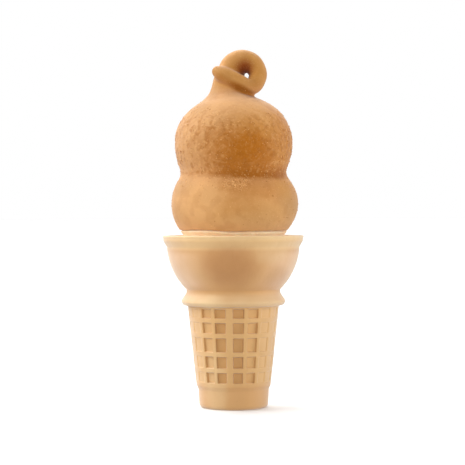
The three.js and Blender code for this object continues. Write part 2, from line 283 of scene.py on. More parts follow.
def neck_angle(neck_radius, bowl_radius):
    return -math.degrees(math.acos(neck_radius / bowl_radius))


def waffle_heights():
    """Heights across the pocketed stem, close together where a pocket's walls slope."""
    half_rib, edge, wall = WAFFLE.rib_width / 2, POCKET_ROWS.edge, POCKET_ROWS.wall
    heights = []
    for low, high in zip(RIB_HEIGHTS, RIB_HEIGHTS[1:]):
        low, high = low + half_rib, high - half_rib
        slope = WAFFLE.draft + 2 * edge
        heights += list(np.linspace(low - edge, low - edge + slope, wall))
        middle = max(2, math.ceil((high - low - 2 * slope) / POCKET_ROWS.floor))
        inner = np.linspace(low - edge + slope, high + edge - slope, middle + 1)
        heights += list(inner[1:-1]) + list(np.linspace(high + edge - slope, high + edge, wall))
        heights.append(high + half_rib)
    return heights[:-1]


def inner_wall(raised=0.0):
    """Corners up the cup's inner wall, from a floor that lies this much higher than its own."""
    base, neck, bowl = (outer.radius - WALL for outer in (BASE, NECK, BOWL))
    floor_height = FLOOR.thickness + raised
    return [
        (base - FLOOR.corner, floor_height, 0),
        (base, floor_height + FLOOR.corner, 0),
        *[(stem_radius(height) - WALL, height, 0) for height in (STEM.bottom, STEM.top)],
        (neck, NECK.height, 0),
        *bowl_arc(bowl, neck_angle(neck, bowl), WALL_TOP_ANGLE),
    ]


def cup_profile():
    """The cup's whole profile, from the base's middle over the rim to the floor's middle."""
    foot = RIB_HEIGHTS[0] - WAFFLE.rib_width / 2
    foot_end = foot + STEM_ENDS.foot
    below = [
        (0, 0, 0),
        (BASE.radius, 0, BASE.corner),
        (BASE.top_radius, BASE.height, BASE.top_corner),
        (stem_radius(foot), foot, STEM_ENDS.foot_fillet),
        (stem_radius(foot_end), foot_end, 0),
    ]
    stem = [np.array((stem_radius(h), h)) for h in waffle_heights()]
    outer_angle = neck_angle(NECK.radius, BOWL.radius)
    top_angle = -math.degrees(math.asin((BOWL.centre - BOWL.top) / BOWL.radius))
    rim, top = RIM_RADIUS - CLEARANCE, RIM_HEIGHT
    mouth = RIM_RADIUS - RIM.wall
    head = stem[-1][1] + STEM_ENDS.head
    outside = [
        (stem_radius(head), head, 0),
        (STEM.top_radius, COLLAR[0][1] - STEM_ENDS.under_collar, STEM_ENDS.head_fillet),
        *COLLAR,
        (NECK.radius, NECK.height, NECK.fillet),
        *bowl_arc(BOWL.radius, outer_angle, top_angle),
        *FLARE,
        (rim, top, RIM.rounding),
        (mouth, top, RIM.rounding),
    ]
    inside = [
        (mouth, top - RIM.mouth_depth, RIM.mouth_fillet),
        *reversed(inner_wall()),
        (0, FLOOR.thickness, 0),
    ]
    line = divided(rounded(below), CUP_SPACING.below) + stem
    line += divided(rounded(outside), CUP_SPACING.outside)
    return np.array(line + divided(rounded(inside), CUP_SPACING.inside)[1:])


def pocket_columns():
    """Where each column of pockets starts and ends, in degrees, and how deep its pockets are."""
    in_half = WAFFLE.columns // 2
    width = (180 - WAFFLE.wide_rib_angle - (in_half - 1) * WAFFLE.rib_angle) / in_half
    columns = []
    for column in range(WAFFLE.columns):
        half, place = divmod(column, in_half)
        first = WAFFLE.wide_rib + WAFFLE.wide_rib_angle / 2 + 180 * half
        start = first + place * (width + WAFFLE.rib_angle)
        front = math.sin(math.radians(start + width / 2))
        grown = smooth_step(*WAFFLE.side_reach, math.degrees(math.asin(abs(front))))
        depth = WAFFLE.side_depth + (WAFFLE.depth - WAFFLE.side_depth) * grown
        columns.append((start, start + width, depth))
    return np.array(columns)


def cup_angles():
    """Angles round the cup in radians, close together where a pocket's walls slope."""
    starts, ends, _ = pocket_columns().T
    outwards, inwards = WALL_REACH
    angles = []
    for start, end, next_start in zip(starts, ends, [*starts[1:], starts[0] + 360]):
        stops = [start - outwards, start + inwards, end - inwards, end + outwards]
        stops.append(next_start - outwards)
        for low, high, count in zip(stops, stops[1:], CUP_CELLS):
            angles += list(np.linspace(low, high, count, endpoint=False))
    return np.radians(angles)


def pocket_depth(angle, height):
    """How deep the stem is pressed in at each angle, in radians, and height."""
    starts, ends, depths = pocket_columns().T
    radius = stem_radius(height)
    away = np.degrees(angle)[..., None] - (starts + ends) / 2
    away = np.abs((away + 180) % 360 - 180)
    column = away.argmin(axis=-1)
    across = np.radians(away.min(axis=-1)) * radius
    half_width = np.radians((ends[0] - starts[0]) / 2) * radius
    depth = np.zeros(np.broadcast(angle, height).shape)
    column_phase, row_phase = WAFFLE.phases
    for row, (low, high) in enumerate(zip(RIB_HEIGHTS, RIB_HEIGHTS[1:])):
        uneven = WAFFLE.unevenness * np.sin(column * column_phase + row * row_phase)
        half_height = (high - low - WAFFLE.rib_width) / 2
        x = across - half_width + WAFFLE.corner
        y = np.abs(height - (low + high) / 2) - half_height + WAFFLE.corner
        beyond = np.hypot(np.maximum(x, 0), np.maximum(y, 0)) + np.minimum(np.maximum(x, y), 0)
        pressed = smooth_step(0, WAFFLE.draft, WAFFLE.corner - beyond)
        depth = np.maximum(depth, pressed * depths[column] * (1 + uneven))
    return depth


def grid_normals(points):
    """Outward normals of a grid of points whose rows each close on themselves."""
    around = np.roll(points, -1, axis=1) - np.roll(points, 1, axis=1)
    return unit(np.cross(around, np.gradient(points, axis=0)))


def wafer_cup(material):
    profile = cup_profile()
    inner = profile[1:-1]
    angles = cup_angles()
    sides = len(angles)
    radii, heights = inner[:, :1], inner[:, 1:]
    stem_rows = heights < STEM.top + STEM_SKIN.above
    stem_rows = stem_rows & (radii > stem_radius(heights) - STEM_SKIN.within)
    pressed = np.where(stem_rows, pocket_depth(angles[None, :], heights), 0)
    reach = radii - pressed
    groove = LIP.groove * np.exp(-(((heights - LIP.height) / LIP.width) ** 2))
    reach = reach - np.where(radii > BOWL.radius, groove, 0)
    level = np.broadcast_to(heights, reach.shape)
    points = np.stack([reach * np.cos(angles), reach * np.sin(angles), level], axis=2)
    normals = grid_normals(points)
    flat = points.reshape(-1, 3)
    raised = sum(relief(flat, *facts) for facts in CUP_RELIEF).reshape(level.shape)
    raised = raised * smooth_step(*FLAT_FOOT, level)
    points = stay_in_box(points + normals * raised[:, :, None])
    start, end = ([[0, 0, profile[row][1]]] for row in (0, -1))
    vertices = np.concatenate([start, points.reshape(-1, 3), end])
    last = len(vertices) - 1
    rows = range(1, last, sides)
    faces = []
    for i in range(sides):
        j = (i + 1) % sides
        faces.append((0, 1 + j, 1 + i))
        faces += [(low + i, low + j, high + j, high + i) for low, high in zip(rows, rows[1:])]
        faces.append((last, rows[-1] + i, rows[-1] + j))
    return mesh_object("wafer_cup", vertices, faces, material)


# ---- The ice cream's form ----


def lobe_distance(points, lobe, inset):
    """Distance out of an egg-shaped lobe, right close to its surface."""
    offset = points - np.array([lobe.x, lobe.y, lobe.height])
    up = np.where(offset[..., 2] > 0, lobe.up, lobe.down) - inset
    around = np.full_like(up, lobe.radius - inset)
    radii = np.stack([around, around, up], axis=-1)
    gauge = np.maximum(np.linalg.norm(offset / radii, axis=-1), 1e-6)
    return gauge * (gauge - 1) / np.maximum(np.linalg.norm(offset / radii**2, axis=-1), 1e-9)


def curve_through(points):
    """Points on a smooth curve through the given ones (Catmull-Rom)."""
    p = np.array(points, float)
    p = np.vstack([2 * p[0] - p[1], p, 2 * p[-1] - p[-2]])
    spans = []
    for a, b, c, d in zip(p, p[1:], p[2:], p[3:]):
        t = np.linspace(0, 1, CURVE_STEPS, endpoint=False)[:, None]
        bend = 2 * a - 5 * b + 4 * c - d + t * (3 * (b - c) + d - a)
        spans.append(b + 0.5 * t * (c - a + t * bend))
    return np.vstack([*spans, p[-2:-1]])


def neck_distance(points, inset):
    """Distance out of the curl's neck, whose level sections are circles."""
    x, y, z, radius = curve_through(CURL_NECK).T
    height = points[..., 2]
    middle_x, middle_y, reach = (np.interp(height, z, v) for v in (x, y, radius))
    slope = np.interp(height, z, np.gradient(radius, z))
    out = np.hypot(points[..., 0] - middle_x, points[..., 1] - middle_y) - reach + inset
    side = out / np.sqrt(1 + slope**2)
    return np.maximum(side, np.maximum(z[0] - height, height - z[-1] + inset))


def rope_line():
    """The rope's x, y, z and radius along its line: root, closing loop and tail."""
    loop = []
    for angle, radius, depth in LOOP_STATIONS:
        out = CURL_LOOP.reach - radius
        x = CURL_LOOP.x + out * math.cos(math.radians(angle))
        z = CURL_LOOP.z + out * math.sin(math.radians(angle))
        loop.append((x, depth, z, radius))
    return curve_through([*CURL_ROOT, *loop, *CURL_TAIL])


def length_distance(points, line):
    """Distance out of a part of the rope, as the nearest of short tapered lengths."""
    nearest = np.full(points.shape[:-1], OUTSIDE)
    for a, b in zip(line, line[1:]):
        way = b[:3] - a[:3]
        t = np.clip(((points - a[:3]) @ way) / (way @ way), 0, 1)
        from_line = np.linalg.norm(points - a[:3] - t[..., None] * way, axis=-1)
        nearest = np.minimum(nearest, from_line - (a[3] + (b[3] - a[3]) * t))
    return nearest


def rope_distance(points, inset):
    """Distance out of the rope, whose tail is blended with the loop that it lies on."""
    line = rope_line()
    first, last = (index * CURVE_STEPS for index in ROPE_BRIDGE)
    loop = length_distance(points, line[: first + 1])
    bridge = length_distance(points, line[first : last + 1])
    tail = length_distance(points, line[last:])
    return np.minimum(smooth_min(loop, tail, SELF_BLEND), bridge) + inset


def form_distance(points, inset):
    """Distance out of the ice cream over its shell, inset all over."""
    angle = np.arctan2(points[..., 1], points[..., 0])
    height = points[..., 2]
    dent = sum(d * np.sin(n * angle + height / rise + phase) for n, rise, phase, d in DENTS)
    lower, upper = (lobe_distance(points, lobe, inset) for lobe in (LOWER_LOBE, UPPER_LOBE))
    form = smooth_min(lower, upper, CREASE_BLEND) - dent * (1 - smooth_step(*DENTS_END, height))
    curled = height > CURL_LOWEST
    if curled.any():
        high_up = points[curled]
        neck = smooth_min(form[curled], neck_distance(high_up, inset), NECK_BLEND)
        form[curled] = smooth_min(neck, rope_distance(high_up, inset), ROPE_BLEND)
    return form


def shell_edge(points):
    """The height of the shell's lower edge at each point's angle."""
    angle = np.arctan2(points[..., 1], points[..., 0])
    return SHELL.edge + sum(h * np.sin(n * angle + phase) for n, phase, h in EDGE_WAVES)


def shell_field(points):
    below = shell_edge(points) - points[..., 2]
    raised = (SKIN_INSET - CURL_INSET) * smooth_step(*SMOOTH_CURL, points[..., 2])
    return smooth_max(form_distance(points, SKIN_INSET) - raised, below, SHELL.rounding)


def hollow_field(points):
    below = FILL_TOP[-1][1] - points[..., 2]
    return np.maximum(form_distance(points, SHELL.thickness), below)


def fill_profile():
    """Radius and height of what fills the cup, from its floor up."""
    wall = inner_wall(PIECE_GAP)
    return [(radius - PIECE_GAP, height) for radius, height, _ in wall] + FILL_TOP


def cream_field(points):
    """Distance out of the ice cream: what fills the cup, the bare band and the core."""
    height = points[..., 2]
    radius, level = np.array(fill_profile()).T
    slope = np.interp(height, level, np.gradient(radius, level))
    slope = np.clip(slope, -STEEPEST, STEEPEST)
    out = np.hypot(points[..., 0], points[..., 1]) - np.interp(height, level, radius)
    ends = np.maximum(level[0] - height, height - level[-1])
    fill = np.maximum(out / np.sqrt(1 + slope**2), ends)
    above_fill = FILL_TOP[0][1] - height
    top_of_band = height - (shell_edge(points) - PIECE_GAP)
    band = np.maximum(form_distance(points, BAND_INSET), np.maximum(above_fill, top_of_band))
    core = np.maximum(form_distance(points, CORE_INSET), above_fill)
    return np.minimum(smooth_min(fill, band, BAND_BLEND), core)


def gradient_of(field, points, step=0.05):
    slopes = []
    for axis in range(3):
        shift = np.zeros(3)
        shift[axis] = step
        slopes.append((field(points + shift) - field(points - shift)) / (2 * step))
    return np.stack(slopes, axis=-1)


def surface_of(field, reach, bottom, top, voxel):
    """Points, faces and outward normals where field is zero, inside a box."""
    low = np.array([-reach, -reach, bottom])
    axes = [np.arange(a, b + voxel, voxel) for a, b in zip(low, (reach, reach, top))]
    grid = openvdb.FloatGrid(OUTSIDE)
    samples = field(np.stack(np.meshgrid(*axes, indexing="ij"), axis=-1))
    grid.copyFromArray(samples.astype(np.float32))
    points, quads = grid.convertToQuads()
    points = points.astype(float) * voxel + low
    for _ in range(SLIDES.count):
        slope = gradient_of(field, points)
        size = np.maximum((slope**2).sum(axis=1), SLIDES.flattest)
        points = points - slope * np.clip(field(points) / size, -voxel, voxel)[:, None]
    slope = gradient_of(field, points)
    return points, quads.tolist(), unit(slope)


def ice_cream(material):
    bottom = FLOOR.thickness - MARGIN.below
    points, faces, normals = surface_of(cream_field, BOWL.radius, bottom, TOP_HEIGHT, VOXEL.cream)
    ripple = relief(points, *CREAM_RIPPLE) * between(points[:, 2], *BAND_SHOWS)
    return mesh_object("ice_cream", points + normals * ripple[:, None], faces, material)


# Parts of the shell by their middle and reach each way.
CLUMP = ((1.9, -28.5, 107.7), (7, 12, 3.6))  # where grains lie thick
RUGGED = ((-3, -26, 135), (13, 14, 9))  # where the crust is rougher
BARE = ((8.5, -27, 123), (13, 14, 11.5))  # where few grains lie
NEAR = (0.5, 1.2)  # the distances, in reaches, between which each of them fades
ROUGH_BELLY = ((109, 115), (136, 150))  # the heights of its rise and its fall
ROUGHNESS = Facts(everywhere=0.25, belly=0.5, patch=9, clump=2.5, rugged=0.7)
LUMPINESS = Facts(everywhere=0.4, belly=0.6)
LUMPS = (6, 1, 2, 0.12)
CRUST = (2.4, 2, 5, 0.12)
CRUST_GRAIN = Facts(size=1.35, depth=0.10)
SUNK = 0.12  # below the curl the skin lies this much further in


def near(points, middle, reach):
    """1 inside a round patch with this reach each way, falling softly to 0 outside it."""
    away = np.linalg.norm((points - np.array(middle)) / np.array(reach), axis=1)
    return 1 - smooth_step(*NEAR, away)


def shell_relief(points):
    """How far the shell's skin lies in or out at each point: lumps, crust and grain."""
    height = points[:, 2]
    belly = between(height, *ROUGH_BELLY)
    patch = 0.5 + 0.5 * noise_at(points, ROUGHNESS.patch, 1, shift=11.0)
    rough = ROUGHNESS.everywhere + belly * (ROUGHNESS.belly + patch)
    rough += ROUGHNESS.clump * near(points, *CLUMP) + ROUGHNESS.rugged * near(points, *RUGGED)
    lumps = relief(points, *LUMPS) * (LUMPINESS.everywhere + LUMPINESS.belly * belly)
    grain = CRUST_GRAIN.depth * (grains_at(points, CRUST_GRAIN.size) - 0.5)
    sunk = SUNK * (1 - smooth_step(*SMOOTH_CURL, height))
    return lumps + rough * (relief(points, *CRUST) + grain) - sunk


def cinnamon_shell(material):
    reach, top = LOWER_LOBE.radius + MARGIN.round, TOP_HEIGHT + MARGIN.above
    bottom = SHELL.edge - MARGIN.below
    points, faces, normals = surface_of(shell_field, reach, bottom, top, VOXEL.shell)
    skin = stay_in_box(points + normals * shell_relief(points)[:, None])
    outer = mesh_object("cinnamon_shell", skin, faces, material)
    bottom = FILL_TOP[-1][1] - MARGIN.under_fill
    points, hollow_faces, _ = surface_of(hollow_field, reach, bottom, top, VOXEL.hollow)
    hollow = mesh_object("shell_hollow", points, hollow_faces, material)
    cut = outer.modifiers.new("open_below", "BOOLEAN")
    cut.operation = "DIFFERENCE"
    cut.solver = "MANIFOLD"
    cut.object = hollow
    bpy.context.view_layer.update()
    whole = outer.evaluated_get(bpy.context.evaluated_depsgraph_get())
    outer.data = bpy.data.meshes.new_from_object(whole)
    outer.modifiers.clear()
    bpy.data.objects.remove(hollow)
    return outer, (skin, faces, normals)


# ---- Grains on the shell ----

CUBE = np.array([(x, y, z) for x in (-1, 1) for y in (-1, 1) for z in (-1, 1)], float)
CUBE_FACES = [(0, 1, 3, 2), (4, 6, 7, 5), (0, 4, 5, 1), (2, 3, 7, 6), (0, 2, 6, 4), (1, 5, 7, 3)]
FLAKE = np.array([(1, 0, 0), (0, 1, 0), (-1, 0, 0), (0, -1, 0), (0, 0, 1), (0, 0, -1)], float)
FLAKE_FACES = [
    (0, 1, 4), (1, 2, 4), (2, 3, 4), (3, 0, 4), (1, 0, 5), (2, 1, 5), (3, 2, 5), (0, 3, 5),
]
GRAINS = {  # size is from the middle to a corner, and clumped is how thick they lie in the clump
    "sugar_grains": Facts(
        shape=CUBE, faces=CUBE_FACES, count=4500, size=(0.18, 0.60), flat=(0.7, 1), sink=0.35,
        clumped=3.2, material="sugar", tone=(0.98, 0.60, 0.24, 1), share=(0.08, 0.42),
        roughness=0.7,
    ),
    "cinnamon_flecks": Facts(
        shape=FLAKE, faces=FLAKE_FACES, count=1600, size=(0.20, 0.60), flat=(0.3, 0.6), sink=0.15,
        clumped=0.4, material="cinnamon", tone=(0.28, 0.075, 0.003, 1), share=(0.15, 0.55),
        roughness=0.8,
    ),
}
GRAINY_BELLY = ((112.5, 114.5), (134, 147))
UNDER_CREASE = ((104, 111), (113, 114))
CLUSTERS = Facts(size=4.5, octaves=2, range=(-0.1, 0.5), shift=21)
FINE_CLUSTERS = Facts(size=1.6, octaves=1, range=(0, 0.45), shift=8)
LIE = Facts(belly=1.2, under_crease=0.6, stray=0.03, off_clusters=0.12, off_fine=0.1)
BARED = 0.9  # the share of the grains that the bare patch lacks
ASPECT = (0.7, 1)  # of a grain's width to its length
JITTER = (0.8, 1.1)  # of a grain's corners
EDGE_MARGIN = 0.6  # no grain lies lower above the shell's edge than this


def clusters(points, facts):
    """1 inside clusters of grains, and 0 between them."""
    return smooth_step(*facts.range, noise_at(points, facts.size, facts.octaves, facts.shift))


def grain_density(points, clumped):
    """How thick the grains lie: in clusters round the upper lobe and under the crease."""
    height = points[:, 2]
    lie = LIE.belly * between(height, *GRAINY_BELLY)
    lie = lie + LIE.under_crease * between(height, *UNDER_CREASE)
    lie = lie * (LIE.off_clusters + clusters(points, CLUSTERS))
    lie = lie * (1 - BARED * near(points, *BARE))
    stray = LIE.stray * (1 - smooth_step(*SMOOTH_CURL, height))
    fine = LIE.off_fine + clusters(points, FINE_CLUSTERS)
    return stray + (clumped * near(points, *CLUMP) + lie) * fine


def random_turns(random, count):
    """Rotation matrices spread evenly over all directions."""
    w, x, y, z = unit(random.normal(size=(count, 4))).T
    rows = [
        1 - 2 * (y * y + z * z), 2 * (x * y - z * w), 2 * (x * z + y * w),
        2 * (x * y + z * w), 1 - 2 * (x * x + z * z), 2 * (y * z - x * w),
        2 * (x * z - y * w), 2 * (y * z + x * w), 1 - 2 * (x * x + y * y),
    ]
    return np.stack(rows, axis=1).reshape(-1, 3, 3)


def scattered(name, skin, faces, normals, random):
    """Small solids, half sunk in the shell's skin, thickest where their density is high."""
    facts = GRAINS[name]
    shape, count = facts.shape, facts.count
    density = grain_density(skin, facts.clumped)
    quads = np.array(faces)
    corners = skin[quads]
    across = np.cross(corners[:, 2] - corners[:, 0], corners[:, 3] - corners[:, 1])
    weight = np.linalg.norm(across, axis=1) * density[quads].mean(axis=1)
    chosen = random.choice(len(quads), count, p=weight / weight.sum())
    mixes = random.dirichlet([1, 1, 1, 1], count)
    places = (corners[chosen] * mixes[:, :, None]).sum(axis=1)
    outward = normals[quads[chosen, 0]]
    small, large = facts.size
    size = small + (large - small) * random.random(count) ** 2
    flat = random.uniform(*facts.flat, count)
    scale = np.stack([size, size * random.uniform(*ASPECT, count), size * flat], axis=1)
    turns = random_turns(random, count)
    middle = places - outward * (size * facts.sink)[:, None]
    jitter = random.uniform(*JITTER, (count, len(shape), 1))
    local = shape[None] * jitter * scale[:, None, :] / np.linalg.norm(shape[0])
    points = np.einsum("nij,nkj->nki", turns, local) + middle[:, None, :]
    below_top = points[:, :, 2].max(axis=1) < TOP_HEIGHT - LEAST_CLEARANCE / 2
    points = points[below_top & (middle[:, 2] > SHELL.edge + EDGE_MARGIN)]
    starts = range(0, len(points) * len(shape), len(shape))
    made = [tuple(start + i for i in face) for start in starts for face in facts.faces]
    piece = mesh_object(name, points.reshape(-1, 3), made, grain_material(facts))
    piece.data.shade_flat()
    return piece


# ---- Materials ----


def is_socket(value):
    return isinstance(value, bpy.types.NodeSocket)


def link(value, socket):
    """Sets a socket to a value, or links another node's socket to it."""
    if is_socket(value):
        socket.id_data.links.new(value, socket)
    else:
        socket.default_value = value


def node(kind, inputs=None, tree=None, **settings):
    """A shader node in the given tree, or in the one that its inputs come from."""
    inputs = inputs or {}
    tree = tree or next(value.id_data for value in inputs.values() if is_socket(value))
    made = tree.nodes.new("ShaderNode" + kind)
    for name, value in settings.items():
        setattr(made, name, value)
    for name, value in inputs.items():
        link(value, made.inputs[name])
    return made


def new_material(name, **shader_values):
    """A material with its shader and a socket for the place in millimetres."""
    material = bpy.data.materials.new(name)
    material.use_nodes = True
    shader = material.node_tree.nodes["Principled BSDF"]
    for socket, value in {"Sheen_Roughness": 0.5, **shader_values}.items():
        shader.inputs[socket.replace("_", " ")].default_value = value
    place = node("TexCoord", tree=material.node_tree).outputs["Object"]
    in_mm = node("VectorMath", {0: place, "Scale": 1 / MM}, operation="SCALE")
    return material, shader, in_mm.outputs["Vector"]


def remap(value, low, high, to_low=0.0, to_high=1.0):
    inputs = {"Value": value, 1: low, 2: high, 3: to_low, 4: to_high}
    return node("MapRange", inputs, interpolation_type="SMOOTHSTEP").outputs["Result"]


def calc(operation, a, b=0.0):
    return node("Math", {0: a, 1: b}, operation=operation).outputs["Value"]


def times(a, b):
    return calc("MULTIPLY", a, b)


def vector(operation, a, b):
    return node("VectorMath", {0: a, 1: b}, operation=operation).outputs["Vector"]


def length_of(way):
    return node("VectorMath", {0: way}, operation="LENGTH").outputs["Value"]


def axes_of(place):
    return node("SeparateXYZ", {"Vector": place}).outputs


def mixed(factor, a, b):
    """Colour a turned to colour b by the factor."""
    return node("Mix", {0: factor, 6: a, 7: b}, data_type="RGBA").outputs[2]


def ramp(value, stops):
    """A colour that runs through stops of a value and a colour, in rising order."""
    low, high = stops[0][0], stops[-1][0]
    share = node("MapRange", {"Value": value, "From Min": low, "From Max": high})
    made = node("ValToRGB", {"Fac": share.outputs["Result"]})
    elements = made.color_ramp.elements
    while len(elements) < len(stops):
        elements.new(0.5)
    for element, (place, *colour) in zip(elements, stops):
        element.position = (place - low) / (high - low)
        element.color = (*colour, 1)
    return made.outputs["Color"]


def noise_node(place, size, detail=2.0, roughness=0.5):
    """Noise from about 0 to 1 with lumps of this size, in millimetres."""
    inputs = {"Vector": place, "Scale": 1 / size, "Detail": detail, "Roughness": roughness}
    return node("TexNoise", inputs)


def noise_value(place, *facts):
    return noise_node(place, *facts).outputs["Fac"]


def wavering(place, size, amount):
    """The place moved a little to and fro, so that what is drawn by it gets uneven edges."""
    level = vector("SUBTRACT", noise_node(place, size).outputs["Color"], (0.5, 0.5, 0.5))
    shift = node("VectorMath", {0: level, "Scale": amount}, operation="SCALE")
    return vector("ADD", place, shift.outputs["Vector"])


def strength_of(place, facts):
    """How strongly mottles or patches show at each place. A patch falls softly to 0 outside it."""
    if isinstance(facts, Mottles):
        return remap(noise_value(place, *facts.noise), *facts.range, 0.0, facts.strength)
    greatest = None
    for middle, reach, strength in facts.places:
        away = vector("DIVIDE", vector("SUBTRACT", place, middle), reach)
        inside = remap(length_of(away), *facts.soft, 0.0, strength)
        greatest = calc("MAXIMUM", greatest, inside) if greatest else inside
    return greatest


def toned(tone, place, facts, share=None):
    """The tone turned to that of mottles or patches, by this share of their strength."""
    strength = strength_of(place, facts)
    return mixed(times(strength, share) if share else strength, tone, facts.tone)


def leaned(place, slope):
    """The place with its height raised by this much for each millimetre along X."""
    x, y, z = axes_of(place)
    made = node("CombineXYZ", {"X": x, "Y": y, "Z": calc("ADD", z, times(x, slope))})
    return made.outputs["Vector"]


def finished(material, shader, tone, surface, grain, raised):
    """The material, with its colour, and its roughness and bumps from noise."""
    link(tone, shader.inputs["Base Color"])
    link(remap(grain, *GRAIN_RANGE, *surface.roughness), shader.inputs["Roughness"])
    inputs = {"Height": raised, "Distance": surface.height * MM, "Strength": surface.strength}
    link(node("Bump", inputs).outputs["Normal"], shader.inputs["Normal"])
    return material


# Roughness from a low to a high grain, and the bumps' height in mm and strength.
WAFER_SURFACE = Facts(roughness=(0.55, 0.7), height=0.05, strength=0.5)
CREAM_SURFACE = Facts(roughness=(0.35, 0.5), height=0.05, strength=0.4)
SHELL_SURFACE = Facts(roughness=(0.85, 0.6), height=0.09, strength=0.7)
GRAIN_RANGE = (0.3, 0.7)  # of the noise behind both

# A waver is its size and the amount by which it moves things.
WAVERS = Facts(wafer=(9, 5), wide=(12, 7), narrow=(2.6, 3.2), crease=(2.5, 2.4))
# soft: the reaches at which patches start to show and show in full. places: each one's middle,
# reach each way and strength. noise: its size, detail and roughness, as far as given.
Patches = namedtuple("Patches", "tone soft places")
Mottles = namedtuple("Mottles", "tone noise range strength")

WAFER_TONES = [  # height and colour
    (0, 0.655, 0.35, 0.125),
    (11, 0.66, 0.35, 0.125),
    (13, 0.70, 0.405, 0.15),
    (48, 0.70, 0.405, 0.15),
    (51, 0.76, 0.505, 0.25),
    (54, 0.73, 0.475, 0.23),
    # painted shade under the bowl: the stop below it is darker
    (56.5, 0.61, 0.325, 0.11),
    (60, 0.65, 0.345, 0.12),
    (75.9, 0.64, 0.335, 0.12),
    (77.6, 0.78, 0.50, 0.22),
    (81, 0.78, 0.50, 0.22),
    (82, 0.82, 0.56, 0.27),
]
PAINTED_HIGHLIGHTS = Patches((0.79, 0.56, 0.29, 1), (1.25, 0.35), [  # painted highlights: paler patches where light falls on the stem, the collar and the bowl
    ((-9, -16, 12), (6, 8, 20), 0.45),
    ((18, -25, 75), (12, 12, 6), 0.35),
    ((-11, -22, 51), (7, 8, 4), 0.7),
])
BAKED_AND_SHADED = Patches((0.48, 0.215, 0.06, 1), (1.25, 0.35), [  # and browner ones on the bowl: painted shade on its front, its left and low on its right, and baked patches on its back
    ((-2, -31, 68.5), (15, 16, 12), 0.9),
    ((29, 17, 66), (16, 20, 12), 0.4),
    ((-22, 24, 68), (20, 18, 12), 0.5),
    ((22, -19, 62.5), (8, 10, 7), 0.45),
    ((-30, -16, 81), (10, 14, 6), 0.22),
    ((-27, -17, 71), (7, 12, 8), 0.15),
])
BOWL_HEIGHTS = (57, 61, 73, 77)  # its sides are paler with painted light from the second to the third of these
LIT_SIDE_TONE = (0.76, 0.465, 0.24, 1)
SIDE_FACING = (0.97, 0.62)  # how squarely it faces the front or back, from no to full painted light
# Painted shade in the pockets: on their floors, darkest beside the wide ribs, and on their walls.
POCKET_SHADE_TONE = (0.53, 0.265, 0.075, 1)
PRESSED = (0.35, 1)  # the depths between which a floor takes its painted shade
FRONT_POCKETS = (0.918, 0.942)  # how squarely the most shaded floors face it: only beside the wide ribs
FLOOR_STRENGTHS = (0.15, 0.85)  # of the painted shade on the other floors and on these
# Painted shade on pocket walls that face sideways.
WALL_SHADE_TONE = (0.44, 0.20, 0.05, 1)
WALL_DEPTHS = (0.1, 0.4)
WALL_TURN = (0.35, 0.7)  # how far sideways a wall faces, from none to all of its painted shade
WALL_STRENGTH = 0.7
WAFER_CLOUD = Mottles((0.60, 0.31, 0.10, 1), (12,), (0.3, 0.7), 0.25)
WAFER_SPECKS = Mottles((0.48, 0.22, 0.06, 1), (1, 3, 0.6), (0.62, 0.78), 0.3)
WAFER_NOISE = (0.55, 3, 0.6)


def facing(flat, radius, degrees):
    """How squarely each place on the cup faces this way or the opposite one, from 0 to 1."""
    way = (math.cos(math.radians(degrees)), math.sin(math.radians(degrees)), 0)
    along = node("VectorMath", {0: flat, 1: way}, operation="DOT_PRODUCT").outputs["Value"]
    return calc("DIVIDE", calc("ABSOLUTE", along), radius)


def wafer_material():
    material, shader, place = new_material("wafer", Sheen_Weight=0.55, Specular_IOR_Level=0.55)
    x, y, height = axes_of(place)
    flat = node("CombineXYZ", {"X": x, "Y": y}).outputs["Vector"]
    radius = length_of(flat)
    low, full, still_full, high = BOWL_HEIGHTS
    rise, fall = remap(height, low, full), remap(height, high, still_full)
    # Painted light: the bowl's sides, where the side lamps fall, are paler.
    sideways_on = remap(facing(flat, radius, -90), *SIDE_FACING)
    sides = times(sideways_on, times(rise, fall))
    tone = mixed(sides, ramp(height, WAFER_TONES), LIT_SIDE_TONE)
    unsteady = wavering(place, *WAVERS.wafer)
    # Painted highlights, then painted shade and baked patches on the bowl.
    for facts in (PAINTED_HIGHLIGHTS, BAKED_AND_SHADED):
        tone = toned(tone, unsteady, facts)
    # Painted shade on the pocket floors.
    taper = (STEM.top_radius - STEM.bottom_radius) / (STEM.top - STEM.bottom)
    risen = times(calc("SUBTRACT", height, STEM.bottom), taper)
    depth = calc("SUBTRACT", calc("ADD", risen, STEM.bottom_radius), radius)
    foot, head = RIB_HEIGHTS[0], RIB_HEIGHTS[-1]
    rise, fall = remap(height, foot, foot + 1), remap(height, head, head - 1)
    on_stem = times(fall, rise)
    pressed = times(remap(depth, *PRESSED), on_stem)
    near_wide_rib = facing(flat, radius, WAFFLE.wide_rib)
    shaded_floor = remap(near_wide_rib, *FRONT_POCKETS, *FLOOR_STRENGTHS)
    tone = mixed(times(pressed, shaded_floor), tone, POCKET_SHADE_TONE)
    # Painted shade on pocket walls that face sideways.
    normal = node("NewGeometry", tree=material.node_tree).outputs["Normal"]
    turned = axes_of(vector("CROSS_PRODUCT", normal, flat))["Z"]
    turned = calc("DIVIDE", calc("ABSOLUTE", turned), radius)
    in_pocket = times(remap(depth, *WALL_DEPTHS), on_stem)
    wall = times(remap(turned, *WALL_TURN, 0.0, WALL_STRENGTH), in_pocket)
    tone = mixed(wall, tone, WALL_SHADE_TONE)
    for facts in (WAFER_CLOUD, WAFER_SPECKS):
        tone = toned(tone, place, facts)
    grain = noise_value(place, *WAFER_NOISE)
    return finished(material, shader, tone, WAFER_SURFACE, grain, grain)


CREAM_TONE = (0.91, 0.68, 0.42, 1)
CREAM_CLOUD = Mottles((0.95, 0.75, 0.49, 1), (4,), (0.3, 0.7), 1)
CREAM_MELT = 1.2  # the size of its unevenness


